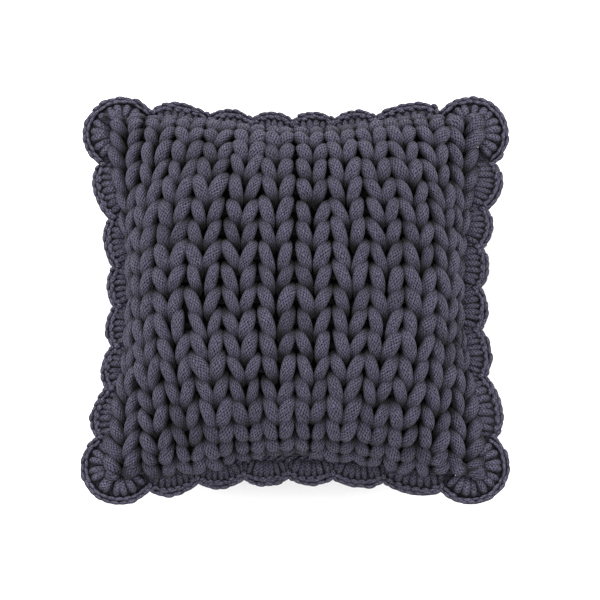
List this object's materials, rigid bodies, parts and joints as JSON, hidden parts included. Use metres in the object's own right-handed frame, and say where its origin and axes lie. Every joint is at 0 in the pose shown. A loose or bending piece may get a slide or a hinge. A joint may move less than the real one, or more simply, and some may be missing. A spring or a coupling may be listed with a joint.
{
  "type": "throw pillow",
  "caption": "Square throw pillow with a chunky knitted front, a crocheted shell edging round the seam, a woven zipped back and a stuffed insert, lying knit side up.",
  "frame": {"origin": "middle of the underside, on the surface the pillow lies on", "axes": "+X across the knit columns, +Y up the knit columns towards the top seam, +Z out of the knitted face"},
  "size_m": [0.458, 0.45, 0.154],
  "materials": {
    "knit_yarn": "matte knitted-tube cotton yarn",
    "crochet_yarn": "matte crocheted yarn",
    "lining_cloth": "matte dark lining",
    "back_cloth": "matte plain weave",
    "insert_cloth": "matte white cambric",
    "fibre": "loose polyester fibre",
    "zip_tape": "woven tape",
    "zip_coil": "nylon coil",
    "zip_metal": "dark enamelled zinc"
  },
  "bodies": {
    "root": {"back_panel_main": "back_cloth", "back_panel_strip": "back_cloth", "border_base_round": "crochet_yarn", "border_chain_bottom": "crochet_yarn", "border_chain_left": "crochet_yarn", "border_chain_right": "crochet_yarn", "border_chain_top": "crochet_yarn", "border_corner_bottom_left": "crochet_yarn", "border_corner_bottom_right": "crochet_yarn", "border_corner_chain_bottom_left": "crochet_yarn", "border_corner_chain_bottom_right": "crochet_yarn", "border_corner_chain_top_left": "crochet_yarn", "border_corner_chain_top_right": "crochet_yarn", "border_corner_top_left": "crochet_yarn", "border_corner_top_right": "crochet_yarn", "border_shells_bottom": "crochet_yarn", "border_shells_left": "crochet_yarn", "border_shells_right": "crochet_yarn", "border_shells_top": "crochet_yarn", "cover_lining": "lining_cloth", "fibre_fill": "fibre", "insert_shell_back": "insert_cloth", "insert_shell_front": "insert_cloth", "knit_panel": "knit_yarn", "zip_coil_main": "zip_coil", "zip_coil_strip": "zip_coil", "zip_stop_closed": "zip_metal", "zip_stop_open": "zip_metal", "zip_tape_main": "zip_tape", "zip_tape_strip": "zip_tape"},
    "zip_slider": {"zip_slider": "zip_metal"},
    "zip_pull_tab": {"zip_pull_tab": "zip_metal"}
  },
  "joints": [
    {"name": "zip_slide", "type": "slide", "parent": "root", "child": "zip_slider", "axis": [-1, 0, 0], "range_m": [0, 0.28]},
    {"name": "pull_tab_hinge", "type": "hinge", "parent": "zip_slider", "child": "zip_pull_tab", "pos_m": [0.14, -0.17454, 0.04022], "axis": [0, -0.5735, 0.8192], "range_deg": [0, 170]}
  ]
}
